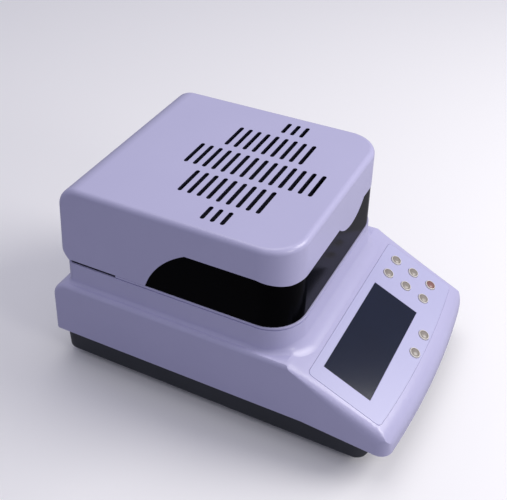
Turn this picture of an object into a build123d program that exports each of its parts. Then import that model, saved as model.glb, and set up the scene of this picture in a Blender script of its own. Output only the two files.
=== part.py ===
from build123d import *
import os
from math import atan2, cos, degrees, radians, sin, tan

os.makedirs("parts", exist_ok=True)

# Moisture and solids tester: a drying balance with a tilting heater hood.
# Millimetres. X is the user's right, Y points to the back and Z up.
# The origin lies on the bench, under the middle of the instrument.

# Whole instrument
body_width = 205.0
foot_height = 8.0

# Base tray, a shallow tub that carries the works
tray_height = 29.0
tray_wall = 2.5
tray_floor = 3.0
tray_side_step = 7.0
tray_back_step = 2.0
tray_front_step = 26.6
tray_corner_radius = 11.0
tray_edge_round = 2.0

# Top housing, the moulded upper shell with deck, plinth and sloping panel
housing_height = 57.0
housing_wall = 3.0
housing_side_wall = 5.0
housing_back_lean = 4.8
housing_back_radius = 18.0
housing_corner_radius = 12.0
housing_ledge = 3.0
front_bow = 6.3
chin_drop = 7.5
chin_start = 81.6
nose_run = 15.6
nose_drop = 12.6
deck_edge_radius = 4.0
tray_gap = 0.4
bow_gap = 0.1
form_overlap = 1.0
edge_tolerance = 0.01
cutter_reach = 60.0
nose_stations = (-1.1, -0.55, 0.0, 0.55, 1.1)

# Plinth, the raised block under the hood
plinth_height = 22.0
plinth_side_margin = 1.0
plinth_front_margin = 3.8
plinth_front_lean = 3.0
plinth_rear_lean = 2.2
plinth_side_lean = 1.0
plinth_rear_margin = 1.0
plinth_rear_radius = 8.0
plinth_root = 14.0
rim_height = 3.0
rim_rear_margin = 12.5
rim_seam = 0.8
rear_plate_thickness = 0.8
rear_plate_margin = 1.5
rear_plate_gap = 0.5

# Sloping control panel, measured down the slope from its upper edge
panel_tilt = 25.5
panel_depth = 87.8
panel_drop = 4.6
panel_side_margin = 8.5
blend_drop_top = 1.5
blend_drop_front = 15.0
blend_reach = 4.0
blend_start = -8.0
panel_overrun = 20.0
overlay_start = 7.6
overlay_end = 78.0
overlay_bow = 5.5
overlay_thickness = 1.0
overlay_recess = 0.8
overlay_corner_radius = 4.0
overlay_gap = 0.2

# Display
display_side_inset = 24.2
display_key_gap = 20.3
display_height = 45.5
display_start = 15.9
display_sight_margin = 3.0
lcd_thickness = 7.0
lcd_margin = 2.0
display_gap = 0.15

# Keys
key_radius = 5.0
key_rise = 1.6
key_travel = 0.8
key_clearance = 0.3
key_flange_radius = 6.5
key_flange_thickness = 1.0
key_stem_radius = 2.0
key_stem_length = 2.5
key_edge_round = 1.1
key_seat_gap = 0.05
key_side_inset = 23.5
key_column_pitch = 21.0
key_row_first = 21.9
key_row_pitch = 19.4
key_lower_row = 76.2
key_lower_middle = 7.4
key_lower_pitch = 24.4
switch_height = 3.5
switch_size = 6.0
switch_plunger = 0.5
switch_gap = 0.1
board_border = 8.0
board_thickness = 1.6
board_post_radius = 2.5

# Hood, hinged along its lower rear edge
hood_side_step = 7.5
hood_length = 217.2
hood_rear_step = 15.0
hood_height = 75.75
hood_setback = 96.4
hood_gap = 0.25
hood_wall = 3.0
hood_corner_radius = 30.0
hood_edge_radius = 5.0
hood_back_radius = 22.0
hood_back_lean = 6.9
hood_chamfer_height = 11.75
hood_chamfer_depth = 7.0
hinge_height = 12.0
hinge_inset = 8.0
hinge_side_inset = 31.0
hinge_eye_radius = 7.0
hinge_pin_radius = 3.0
hinge_running_clearance = 0.05
lug_thickness = 3.0
washer_thickness = 0.5
bracket_thickness = 2.0
bracket_screw_step = 8.0
bracket_border = 12.0
hinge_notch_width = 17.0
hinge_notch_depth = 22.0
hinge_notch_height = 17.0
washer_gap = 0.05
arm_length = 48.0
arm_height = 6.0
pin_head_thickness = 2.0
pin_head_margin = 1.5
washer_margin = 0.5
lug_root = 9.0
bracket_setback = 4.0
bracket_round = 2.0
arm_toe = 1.0
hood_rear_round = 1.0

# Vent slots in the hood's top: rows from the middle outwards
slot_pitch = 8.75
slot_width = 3.8
slot_short_length = 17.8
slot_edge_inset = 14.4
slot_inner_gap = 6.75
slot_outer_gap = 7.45
slot_middle_count = 14
slot_side_count = 9
slot_outer_count = 3
slot_side_shift = 4.375
slot_outer_shift = -4.375

# Smoked window band round the lower half of the hood
window_thickness = 2.5
window_inset = 0.4
window_gap = 0.3
window_side_height = 45.75
window_front_height = 40.75
window_side_run = 92.2
window_arc_run = 42.5
window_arc_middle = (0.58, 0.42)
window_foot = 6.0
lip_middle = 25.0
lip_width = 54.0
lip_drop = 11.5

# Drying chamber
chamber_back = 79.7
liner_radius = 64.0
liner_flange = 6.0
liner_sheet = 1.2
liner_depth = 18.0
liner_gap = 0.4
shield_radius = 55.2
shield_wall = 1.2
shield_height = 20.0
pan_radius = 48.0
pan_height = 6.0
pan_wall = 0.8
pan_rise = 2.5
pan_flare = 3.0
stem_radius = 4.0
stem_hole_radius = 10.0
stem_foot_height = 4.0
stem_foot_width = 24.0
stem_foot_length = 14.0
stem_foot_round = 2.0
stem_hub_radius = 6.0
arm_reach = 38.0
arm_width = 5.0
arm_thickness = 1.6
arm_finger_height = 4.0

# Heater inside the hood
frame_thickness = 4.0
frame_gap = 0.5
frame_opening_radius = 70.0
guard_rise = 27.75
guard_sheet = 1.2
glass_thickness = 2.8
lamp_ring_radius = 45.0
lamp_tube_radius = 5.0
lamp_gap_angle = 26.0
lamp_rise = 9.0
lamp_holder_reach = 7.0
lamp_holder_drop = 6.0
glass_gap = 0.2
reflector_sheet = 1.0
reflector_depth = 26.0
reflector_flange = 7.0
reflector_flat = 54.0
reflector_sag = 3.0
baffle_sheet = 1.2
baffle_margin = 12.0
baffle_boss_radius = 4.0
baffle_boss_inset = 8.0
baffle_boss_step = 58.0
probe_radius = 1.5
probe_rise = 15.0
probe_reach = 24.0
probe_stand = 6.0
probe_bend = 6.0

# Feet
foot_pad_radius = 11.0
foot_pad_height = 4.6
foot_stud_radius = 3.0
foot_wheel_radius = 9.5
foot_wheel_thickness = 2.6
foot_side_inset = 20.5
foot_front_inset = 15.7
foot_rear_inset = 14.3
foot_boss_radius = 7.0
foot_boss_height = 12.0
foot_thread_clearance = 0.1
foot_socket_depth = 2.0
foot_socket_clearance = 0.05
foot_wheel_gap = 0.5
foot_wheel_notches = 12
foot_wheel_notch = 1.2
foot_stud_rise = 2.0
foot_pad_round = 1.0

# Fasteners
screw_shank_radius = 1.5
screw_head_radius = 3.0
screw_head_height = 2.0
screw_clearance = 0.1
screw_side_inset = 7.5
screw_front_inset = 32.7
screw_rear_inset = 24.3
screw_middle_step = 3.5
screw_boss_radius = 4.5
screw_engagement = 9.0
screw_tip_gap = 1.0

# Weighing cell and electronics
cell_rear_gap = 42.5
cell_width = 30.0
cell_height = 22.0
cell_free_length = 16.0
cell_mount_length = 32.0
cell_mount_width = 42.0
cell_mount_round = 3.0
cell_stem_gap = 16.0
flexure_spread = 44.0
flexure_radius = 7.0
flexure_slot = 3.0
board_standoff = 7.0
board_width = 56.0
board_length = 130.0
board_side_gap = 13.5
board_rear_gap = 39.3
board_inset = 5.0
standoff_radius = 3.0
chip_height = 3.0
processor_size = 20.0
memory_width = 14.0
memory_length = 28.0
capacitor_height = 14.0
capacitor_radius = 4.0
capacitor_pitch = 11.0
transformer_width = 54.0
transformer_length = 44.0
transformer_height = 42.0
core_length = 24.0
winding_width = 36.0
winding_height = 27.0
winding_round = 4.0
transformer_side_gap = 16.5
transformer_rear_gap = 70.3

# Rear sockets, set in the leaning back wall
socket_height = 20.0
inlet_side_inset = 40.5
inlet_width = 48.0
inlet_height = 27.0
inlet_depth = 24.0
inlet_mouth_width = 24.0
inlet_mouth_height = 16.5
inlet_mouth_depth = 15.0
inlet_mouth_chamfer = 5.0
inlet_pin_thickness = 2.0
inlet_pin_width = 4.0
inlet_pin_rise = 2.0
inlet_pin_spread = 7.0
inlet_pin_length = 10.0
switch_pitch = 40.0
switch_frame_width = 15.0
switch_frame_height = 21.0
rocker_width = 8.0
rocker_length = 15.0
rocker_angle = 7.0
rocker_gap = 0.4
rocker_sink = 3.0
rocker_root = 3.0
rocker_hollow = 1.2
rocker_axle_radius = 1.2
rocker_axle_reach = 0.9
rocker_axle_clearance = 0.05
switch_body_depth = 18.0
switch_well_depth = 9.0
serial_side_inset = 52.5
serial_width = 31.0
serial_height = 12.5
serial_depth = 12.0
socket_flange = 1.5
socket_fit = 0.15
socket_step = 3.0
inlet_ear = 9.0
serial_ear = 5.5
serial_shell_width = 17.0
serial_shell_height = 8.4
serial_shell_slope = 80.0
serial_shell_round = 2.0
serial_shell_rise = 1.4
socket_round = 1.5

# Heights
z_tray = foot_height
z_tray_floor = z_tray + tray_floor
z_parting = foot_height + tray_height
z_deck = z_parting + housing_height
z_plinth = z_deck + plinth_height
z_rim = z_plinth + rim_height
z_hood = z_rim + hood_gap
z_top = z_hood + hood_height
z_frame = z_rim + frame_gap
z_frame_top = z_frame + frame_thickness
z_guard = z_hood + guard_rise
z_glass = z_guard + guard_sheet
z_reflector = z_glass + glass_thickness
z_reflector_top = z_reflector + reflector_depth
z_liner_floor = z_plinth - liner_depth
z_cell_top = z_liner_floor - cell_stem_gap
z_cell = z_cell_top - cell_height

# Lengths
body_length = hood_setback + hood_length + hood_rear_step
y_front = -body_length / 2
y_back = body_length / 2
y_hood_front = y_front + hood_setback
y_hood_back = y_back - hood_rear_step
y_panel = y_front + panel_depth
y_chamber = y_hood_front + chamber_back
y_tray_front = y_front + tray_front_step
y_tray_back = y_back - tray_back_step
y_hinge = y_hood_back - hinge_inset
z_hinge = z_plinth + hinge_height
half_width = body_width / 2
half_tray = half_width - tray_side_step
half_hood = half_width - hood_side_step
hood_width = 2 * half_hood
half_plinth = half_hood + plinth_side_margin
hinge_spread = half_hood - hinge_side_inset
z_panel = z_deck - panel_drop

panel_cos = cos(radians(panel_tilt))
panel_sin = sin(radians(panel_tilt))
panel_plane = Plane(origin=(0, y_panel, z_panel), x_dir=(1, 0, 0), z_dir=(0, -panel_sin, panel_cos))
back_lean_angle = degrees(atan2(housing_back_lean, housing_height))
inlet_place = half_width - inlet_side_inset
switch_place = inlet_place - switch_pitch
serial_place = serial_side_inset - half_width


def back_wall_y(height):
    """Y of the leaning back wall's outer face at a height above the parting plane."""
    return y_back - housing_back_lean * height / housing_height


socket_plane = Plane(
    origin=(0, back_wall_y(socket_height), z_parting + socket_height),
    x_dir=(-1, 0, 0),
    z_dir=(0, cos(radians(back_lean_angle)), sin(radians(back_lean_angle))),
)


def panel_height(y):
    """Z of the panel plane at a given Y."""
    return z_panel + (y - y_panel) * tan(radians(panel_tilt))


def panel_point_plane(x, down, above=0.0):
    """Plane parallel to the panel, at x and a distance down the slope."""
    spot = panel_plane.from_local_coords(Vector(x, -down, above))
    return Plane(origin=spot, x_dir=(1, 0, 0), z_dir=panel_plane.z_dir)


def plan_outline(half, y_fore, y_rear, fore_radius, rear_radius):
    """Rectangle in plan with its own corner radius at the front and at the back."""
    with BuildSketch() as outline:
        with BuildLine():
            Polyline((-half, y_fore), (half, y_fore), (half, y_rear), (-half, y_rear), close=True)
        make_face()
        fillet(outline.vertices().group_by(Axis.Y)[0], fore_radius)
        fillet(outline.vertices().group_by(Axis.Y)[-1], rear_radius)
    return outline.sketch


def save(piece, label):
    """Labels a finished piece and writes it to its own file."""
    piece.part.label = label
    export_step(piece.part, f"parts/{label}.step")


# Base tray: an injection-moulded tub with bosses for feet and housing screws
tray_outline = plan_outline(half_tray, y_tray_front, y_tray_back, tray_corner_radius, tray_corner_radius)
foot_side = half_tray - foot_side_inset
foot_spots = {
    "front_left": (-foot_side, y_tray_front + foot_front_inset),
    "front_right": (foot_side, y_tray_front + foot_front_inset),
    "rear_left": (-foot_side, y_tray_back - foot_rear_inset),
    "rear_right": (foot_side, y_tray_back - foot_rear_inset),
}
screw_side = half_tray - screw_side_inset
screw_first = y_tray_front + screw_front_inset
screw_last = y_tray_back - screw_rear_inset
screw_rows = (screw_first, (screw_first + screw_last) / 2 + screw_middle_step, screw_last)
screw_spots = [(side * screw_side, row) for side in (-1, 1) for row in screw_rows]

with BuildPart() as base_tray:
    with BuildSketch(Plane.XY.offset(z_tray)):
        add(tray_outline)
    extrude(amount=tray_height)
    fillet(base_tray.faces().sort_by(Axis.Z)[0].edges(), tray_edge_round)
    with BuildSketch(Plane.XY.offset(z_tray_floor)):
        offset(tray_outline, amount=-tray_wall)
    extrude(amount=tray_height, mode=Mode.SUBTRACT)
    with BuildSketch(Plane.XY.offset(z_tray)):
        with Locations(*foot_spots.values()):
            Circle(foot_boss_radius)
    extrude(amount=foot_boss_height)
    with BuildSketch(Plane.XY.offset(z_tray)):
        with Locations(*screw_spots):
            Circle(screw_boss_radius)
    extrude(amount=tray_height)
    with BuildSketch(Plane.XY.offset(z_tray)):
        with Locations(*foot_spots.values()):
            Circle(foot_stud_radius + foot_thread_clearance)
    extrude(amount=foot_boss_height, mode=Mode.SUBTRACT)
    with BuildSketch(Plane.XY.offset(z_tray)):
        with Locations(*screw_spots):
            Circle(screw_shank_radius + screw_clearance)
    extrude(amount=tray_height, mode=Mode.SUBTRACT)
    with BuildSketch(Plane.XY.offset(z_tray)):
        with Locations(*screw_spots):
            Circle(screw_head_radius + screw_clearance)
    extrude(amount=screw_head_height + screw_clearance, mode=Mode.SUBTRACT)
save(base_tray, "base_tray")


# Top housing: side profile run across the width, then cut to its moulded form
def housing_profile(wall, floor_z):
    """Side profile of the upper shell, drawn in by a wall thickness."""
    fore = y_front + front_bow + wall if wall else y_front - panel_overrun
    slope_wall = wall / panel_cos
    deck_edge = y_panel + (panel_drop - wall + slope_wall) / tan(radians(panel_tilt))
    with BuildSketch() as profile:
        with BuildLine():
            Polyline(
                (fore, floor_z),
                (y_back - wall, floor_z),
                (back_wall_y(housing_height) - wall, z_deck - wall),
                (deck_edge, z_deck - wall),
                (fore, panel_height(fore) - slope_wall),
                close=True,
            )
        make_face()
        rear_top = profile.vertices().group_by(Axis.Y)[-1].sort_by(Axis.X)[-1]
        fillet(rear_top, housing_back_radius - wall)
    return profile.sketch


def nose_section(x):
    """Section of what is cut away in front of the bowed nose, at one place across the width."""
    y_wall = y_front + front_bow * (x / half_width) ** 2
    y_start = y_wall + nose_run
    start = (y_start, panel_height(y_start))
    corner = (y_wall, panel_height(y_wall))
    finish = (y_wall, panel_height(y_wall) - nose_drop)
    low = z_parting - 3 * chin_drop
    with BuildSketch() as section:
        with BuildLine():
            Bezier(start, corner, finish)
            fore = y_front - cutter_reach
            Polyline(finish, (y_wall, low), (fore, low), (fore, corner[1] + cutter_reach / 2), start)
        make_face()
    return section.sketch


def side_blend_section(drop):
    """Corner taken off between the panel and a side wall, with a soft curve of a given drop."""
    with BuildSketch() as section:
        with BuildLine():
            Bezier((-panel_side_margin, 0), (0, 0), (0, -drop))
            Polyline(
                (0, -drop),
                (blend_reach, -drop),
                (blend_reach, blend_reach),
                (-panel_side_margin, blend_reach),
                (-panel_side_margin, 0),
            )
        make_face()
    return section.sketch


def side_blend_plane(side, down):
    """Plane across the panel's side edge, at a distance down the slope."""
    spot = panel_plane.from_local_coords(Vector(side * half_width, -down, 0))
    return Plane(origin=spot, x_dir=(side, 0, 0), z_dir=panel_plane.y_dir * -side)


slope_length = (panel_depth + panel_overrun) / panel_cos
blend_growth = (blend_drop_front - blend_drop_top) / panel_depth
blend_drop_end = blend_drop_top + blend_growth * slope_length * panel_cos

with BuildPart() as nose_cutter:
    for place in nose_stations:
        with BuildSketch(Plane.YZ.offset(place * half_width)):
            add(nose_section(place * half_width))
    loft()

blend_cutters = []
for side in (-1, 1):
    with BuildPart() as blend_cutter:
        with BuildSketch(side_blend_plane(side, blend_start)):
            add(side_blend_section(blend_drop_top))
        with BuildSketch(side_blend_plane(side, slope_length)):
            add(side_blend_section(blend_drop_end))
        loft(ruled=True)
    blend_cutters.append(blend_cutter.part)

with BuildSketch() as bowed_plan:
    with BuildLine():
        left = (-half_width, y_front + front_bow - bow_gap)
        right = (half_width, y_front + front_bow - bow_gap)
        ThreePointArc(left, (0, y_front - bow_gap), right)
        Polyline(right, (half_width, y_back), (-half_width, y_back), left)
    make_face()
    fillet(bowed_plan.vertices().group_by(Axis.Y)[0], housing_corner_radius)

with BuildPart() as housing_form:
    with BuildSketch(Plane.YZ.offset(-half_width)):
        add(housing_profile(0, z_parting))
    extrude(amount=body_width)
    side_edges = housing_form.faces().filter_by(Axis.X).edges()
    deck_edges = side_edges.filter_by(lambda edge: abs(edge.center().Z - z_deck) < edge_tolerance)
    back_edges = side_edges.filter_by(
        lambda edge: edge.center().Y > y_back - housing_back_radius
        and edge.center().Z > z_parting + form_overlap
    )
    fillet(deck_edges + back_edges, deck_edge_radius)
    with BuildSketch(Plane.YZ.offset(-half_width)):
        with BuildLine():
            Polyline(
                (y_front - panel_overrun, z_parting + form_overlap),
                (y_front - panel_overrun, z_parting - chin_drop),
                (y_front, z_parting - chin_drop),
                (y_front + chin_start, z_parting),
                (y_front + chin_start, z_parting + form_overlap),
                close=True,
            )
        make_face()
    extrude(amount=body_width)
    for cutter in blend_cutters:
        add(cutter, mode=Mode.SUBTRACT)
    add(nose_cutter.part, mode=Mode.SUBTRACT)
    with BuildSketch(Plane.XY.offset(z_tray)):
        with Locations((0, y_front + front_bow)):
            Rectangle(body_width + panel_overrun, 2 * (front_bow + housing_corner_radius))
        add(bowed_plan.sketch, mode=Mode.SUBTRACT)
    extrude(amount=body_length, mode=Mode.SUBTRACT)


def plinth_outline(side_lean, front_lean, rear_lean):
    """Plan of the plinth, leaned in by so much at the sides, the front and the rear."""
    return plan_outline(
        half_plinth - side_lean,
        y_hood_front - plinth_front_margin + front_lean,
        y_hood_back - plinth_rear_margin - rear_lean,
        hood_corner_radius,
        plinth_rear_radius,
    )


plinth_top_outline = plinth_outline(plinth_side_lean, plinth_front_lean, plinth_rear_lean)
key_column_outer = half_width - key_side_inset
key_column_inner = key_column_outer - key_column_pitch
display_left = display_side_inset - half_width
display_right = key_column_inner - display_key_gap
display_width = display_right - display_left
key_spots = {
    "key_outer_top": (key_column_outer, key_row_first),
    "key_outer_middle": (key_column_outer, key_row_first + key_row_pitch),
    "key_outer_bottom": (key_column_outer, key_row_first + 2 * key_row_pitch),
    "key_inner_top": (key_column_inner, key_row_first),
    "key_inner_middle": (key_column_inner, key_row_first + key_row_pitch),
    "key_inner_bottom": (key_column_inner, key_row_first + 2 * key_row_pitch),
    "key_lower_right": (key_lower_middle + key_lower_pitch / 2, key_lower_row),
    "key_lower_left": (key_lower_middle - key_lower_pitch / 2, key_lower_row),
}
key_centres = [(x, -down) for x, down in key_spots.values()]
display_centre = ((display_left + display_right) / 2, -display_start - display_height / 2)
board_post_spots = [
    ((key_column_outer + key_column_inner) / 2, -key_row_first - key_row_pitch / 2),
    ((key_column_outer + key_column_inner) / 2, -key_row_first - 3 * key_row_pitch / 2),
    (key_lower_middle, -key_lower_row),
]
key_stack = key_flange_thickness + key_stem_length + key_travel
key_board_depth = housing_wall + key_stack + switch_height + switch_gap
y_bracket = y_hinge - bracket_setback
bracket_screw_spots = [
    (side * hinge_spread + step, y_bracket)
    for side in (-1, 1)
    for step in (-bracket_screw_step, bracket_screw_step)
]


def overlay_outline(gap):
    """Outline of the panel overlay, shrunk by a gap, with its bowed lower edge."""
    half = half_width - panel_side_margin - gap
    top = -overlay_start - gap
    low = -overlay_end + gap
    with BuildSketch() as outline:
        with BuildLine():
            Polyline((-half, low), (-half, top), (half, top), (half, low))
            ThreePointArc((half, low), (0, low - overlay_bow), (-half, low))
        make_face()
        fillet(outline.vertices(), overlay_corner_radius)
    return outline.sketch


with BuildPart() as top_housing:
    add(housing_form.part)
    with BuildSketch(Plane.XY.offset(z_deck - plinth_root)):
        add(plinth_outline(0, 0, 0))
    with BuildSketch(Plane.XY.offset(z_plinth)):
        add(plinth_top_outline)
    loft(ruled=True)
    # hollow of the body and of the plinth
    with BuildSketch(Plane.YZ.offset(-half_width + housing_side_wall)):
        add(housing_profile(housing_wall, z_parting + housing_wall))
    extrude(amount=body_width - 2 * housing_side_wall, mode=Mode.SUBTRACT)
    with BuildSketch(Plane.XY.offset(z_plinth - housing_wall)):
        offset(plinth_top_outline, amount=-housing_wall)
    extrude(amount=-plinth_height - housing_wall, mode=Mode.SUBTRACT)
    # room for the tray below, and the way through to it
    with BuildSketch(Plane.XY.offset(z_parting)):
        offset(tray_outline, amount=tray_gap)
    extrude(amount=-tray_height, mode=Mode.SUBTRACT)
    with BuildSketch(Plane.XY.offset(z_parting)):
        offset(tray_outline, amount=-tray_wall - housing_ledge)
    extrude(amount=housing_wall, mode=Mode.SUBTRACT)
    # round opening for the drying chamber
    with BuildSketch(Plane.XY.offset(z_plinth)):
        with Locations((0, y_chamber)):
            Circle(liner_radius + liner_gap)
    extrude(amount=-2 * housing_wall, mode=Mode.SUBTRACT)
    # screw posts from the parting plane to the roof
    for x, y in screw_spots:
        roof = panel_height(y) if y < y_panel else z_plinth
        with BuildSketch(Plane.XY.offset(z_parting)):
            with Locations((x, y)):
                Circle(screw_boss_radius)
        extrude(amount=roof - housing_wall - z_parting)
    with BuildSketch(Plane.XY.offset(z_parting)):
        with Locations(*screw_spots):
            Circle(screw_shank_radius + screw_clearance)
    extrude(amount=screw_engagement, mode=Mode.SUBTRACT)
    with BuildSketch(Plane.XY.offset(z_plinth)):
        with Locations(*bracket_screw_spots):
            Circle(screw_shank_radius + screw_clearance)
    extrude(amount=-housing_wall, mode=Mode.SUBTRACT)
    # posts that carry the key board under the panel
    with BuildSketch(panel_plane.offset(-housing_wall)):
        with Locations(*board_post_spots):
            Circle(board_post_radius)
    extrude(amount=-(key_board_depth - housing_wall))
    # recess for the overlay, sight of the display and key holes
    with BuildSketch(panel_plane):
        add(overlay_outline(0))
    extrude(amount=-overlay_recess, mode=Mode.SUBTRACT)
    with BuildSketch(panel_plane):
        with Locations(display_centre):
            Rectangle(display_width - 2 * display_sight_margin, display_height - 2 * display_sight_margin)
        with Locations(*key_centres):
            Circle(key_radius + key_clearance)
    extrude(amount=-housing_wall, mode=Mode.SUBTRACT)
    # pockets and cut-outs of the rear sockets
    with BuildSketch(socket_plane):
        with Locations((-inlet_place, 0)):
            Rectangle(inlet_width + 2 * socket_fit, inlet_height + 2 * socket_fit)
        with Locations((-switch_place, 0)):
            Rectangle(switch_frame_width + 2 * socket_fit, switch_frame_height + 2 * socket_fit)
        with Locations((-serial_place, 0)):
            Rectangle(serial_width + 2 * socket_fit, serial_height + 2 * socket_fit)
    extrude(amount=-socket_flange, mode=Mode.SUBTRACT)
    with BuildSketch(socket_plane):
        with Locations((-inlet_place, 0)):
            Rectangle(
                inlet_width - 2 * inlet_ear + 2 * socket_fit,
                inlet_height - 2 * socket_step + 2 * socket_fit,
            )
        with Locations((-switch_place, 0)):
            Rectangle(switch_frame_width - socket_step, switch_frame_height - socket_step)
        with Locations((-serial_place, 0)):
            Rectangle(serial_width - 2 * serial_ear, serial_height - socket_step)
    extrude(amount=-2 * housing_wall, mode=Mode.SUBTRACT)
save(top_housing, "top_housing")

# Chamber rim: the loose trim plate on the plinth, under the hood's edge
rim_rear = y_chamber + liner_radius + liner_flange + rim_rear_margin
with BuildPart() as chamber_rim:
    with BuildSketch(Plane.XY.offset(z_plinth)):
        offset(plinth_top_outline, amount=-rim_seam)
        with Locations((0, rim_rear)):
            Rectangle(body_width, body_length, align=(Align.CENTER, Align.MIN), mode=Mode.SUBTRACT)
    extrude(amount=rim_seam)
    with BuildSketch(Plane.XY.offset(z_plinth + rim_seam)):
        add(plinth_top_outline)
        with Locations((0, rim_rear)):
            Rectangle(body_width, body_length, align=(Align.CENTER, Align.MIN), mode=Mode.SUBTRACT)
    extrude(amount=rim_height - rim_seam)
    with BuildSketch(Plane.XY.offset(z_rim)):
        with Locations((0, y_chamber)):
            Circle(liner_radius + liner_gap)
    extrude(amount=-rim_height, mode=Mode.SUBTRACT)
    with BuildSketch(Plane.XY.offset(z_rim)):
        with Locations((0, y_chamber)):
            Circle(liner_radius + liner_flange + liner_gap)
    extrude(amount=-liner_sheet, mode=Mode.SUBTRACT)
save(chamber_rim, "chamber_rim")

# Rear plate: black sheet steel that covers the plinth behind the rim, under the hinges
with BuildPart() as rear_plate:
    with BuildSketch(Plane.XY.offset(z_plinth)):
        offset(plinth_top_outline, amount=-rear_plate_margin)
        with Locations((0, rim_rear + rear_plate_gap)):
            Rectangle(body_width, body_length, align=(Align.CENTER, Align.MAX), mode=Mode.SUBTRACT)
        with Locations(*bracket_screw_spots):
            Circle(screw_shank_radius + screw_clearance, mode=Mode.SUBTRACT)
    extrude(amount=rear_plate_thickness)
save(rear_plate, "rear_plate")

# Chamber liner: a spun stainless dish that drops into the rim
chamber_axis = Axis((0, y_chamber, 0), (0, 0, 1))
chamber_section = Plane(origin=(0, y_chamber, 0), x_dir=(1, 0, 0), z_dir=(0, -1, 0))

with BuildPart() as chamber_liner:
    with BuildSketch(chamber_section):
        with BuildLine():
            Polyline(
                (stem_hole_radius, z_liner_floor),
                (liner_radius, z_liner_floor),
                (liner_radius, z_rim - liner_sheet),
                (liner_radius + liner_flange, z_rim - liner_sheet),
                (liner_radius + liner_flange, z_rim),
                (liner_radius - liner_sheet, z_rim),
                (liner_radius - liner_sheet, z_liner_floor + liner_sheet),
                (stem_hole_radius, z_liner_floor + liner_sheet),
                close=True,
            )
        make_face()
    revolve(axis=chamber_axis)
save(chamber_liner, "chamber_liner")

# Draught shield: a loose ring round the pan
with BuildPart() as draught_shield:
    with BuildSketch(Plane.XY.offset(z_liner_floor + liner_sheet)):
        with Locations((0, y_chamber)):
            Circle(shield_radius)
            Circle(shield_radius - shield_wall, mode=Mode.SUBTRACT)
    extrude(amount=shield_height)
save(draught_shield, "draught_shield")

# Pan support: stem with three arms that end in short upright fingers
z_pan = z_rim - pan_rise
with BuildPart() as pan_support:
    with BuildSketch(Plane.XY.offset(z_cell_top)):
        with Locations((0, y_chamber)):
            RectangleRounded(stem_foot_width, stem_foot_length, stem_foot_round)
    extrude(amount=stem_foot_height)
    with BuildSketch(Plane.XY.offset(z_cell_top)):
        with Locations((0, y_chamber)):
            Circle(stem_radius)
    extrude(amount=z_pan - arm_finger_height - z_cell_top)
    with BuildSketch(Plane.XY.offset(z_pan - arm_finger_height)):
        with Locations((0, y_chamber)):
            Circle(stem_hub_radius)
            with PolarLocations(arm_reach / 2, 3, start_angle=90):
                Rectangle(arm_reach, arm_width)
    extrude(amount=-arm_thickness)
    with BuildSketch(Plane.XY.offset(z_pan)):
        with Locations((0, y_chamber)):
            with PolarLocations(arm_reach - arm_width / 2, 3, start_angle=90):
                Rectangle(arm_width, arm_width)
    extrude(amount=-arm_finger_height)
save(pan_support, "pan_support")

# Sample pan: a pressed aluminium dish
with BuildPart() as sample_pan:
    with BuildSketch(chamber_section):
        with BuildLine():
            Polyline(
                (0, z_pan),
                (pan_radius - pan_flare, z_pan),
                (pan_radius, z_pan + pan_height),
                (pan_radius - pan_wall, z_pan + pan_height),
                (pan_radius - pan_flare - pan_wall / 2, z_pan + pan_wall),
                (0, z_pan + pan_wall),
                close=True,
            )
        make_face()
    revolve(axis=chamber_axis)
save(sample_pan, "sample_pan")

# Weighing cell: a milled aluminium beam with two flexure holes, on its block
y_cell_free = y_chamber - cell_free_length / 2
y_cell_fixed = y_tray_back - cell_rear_gap
cell_length = y_cell_fixed - y_cell_free
with BuildPart() as load_cell:
    with BuildSketch(Plane.YZ.offset(-cell_width / 2)):
        with Locations(((y_cell_free + y_cell_fixed) / 2, (z_cell + z_cell_top) / 2)):
            Rectangle(cell_length, cell_height)
            with Locations((-flexure_spread / 2, 0), (flexure_spread / 2, 0)):
                Circle(flexure_radius, mode=Mode.SUBTRACT)
            Rectangle(flexure_spread, flexure_slot, mode=Mode.SUBTRACT)
    extrude(amount=cell_width)
save(load_cell, "load_cell")

with BuildPart() as load_cell_mount:
    with BuildSketch(Plane.XY.offset(z_tray_floor)):
        with Locations((0, y_cell_fixed - cell_mount_length / 2)):
            RectangleRounded(cell_mount_width, cell_mount_length, cell_mount_round)
    extrude(amount=z_cell - z_tray_floor)
save(load_cell_mount, "load_cell_mount")


# Display: a smoked lens let into the panel, and the glass module behind it
with BuildPart() as display_window:
    with BuildSketch(panel_plane.offset(-overlay_recess)):
        with Locations(display_centre):
            Rectangle(display_width, display_height)
    extrude(amount=overlay_thickness)
save(display_window, "display_window")

with BuildPart() as lcd_module:
    with BuildSketch(panel_plane.offset(-housing_wall)):
        with Locations(display_centre):
            Rectangle(display_width - 2 * lcd_margin, display_height - 2 * lcd_margin)
    extrude(amount=-lcd_thickness)
save(lcd_module, "lcd_module")

# Panel overlay: a flexible printed sheet in the panel's recess
with BuildPart() as panel_overlay:
    with BuildSketch(panel_plane.offset(-overlay_recess)):
        add(overlay_outline(overlay_gap))
        with Locations(display_centre):
            Rectangle(
                display_width + 2 * display_gap,
                display_height + 2 * display_gap,
                mode=Mode.SUBTRACT,
            )
        with Locations(*key_centres):
            Circle(key_radius + key_clearance, mode=Mode.SUBTRACT)
    extrude(amount=overlay_thickness)
save(panel_overlay, "panel_overlay")

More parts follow.
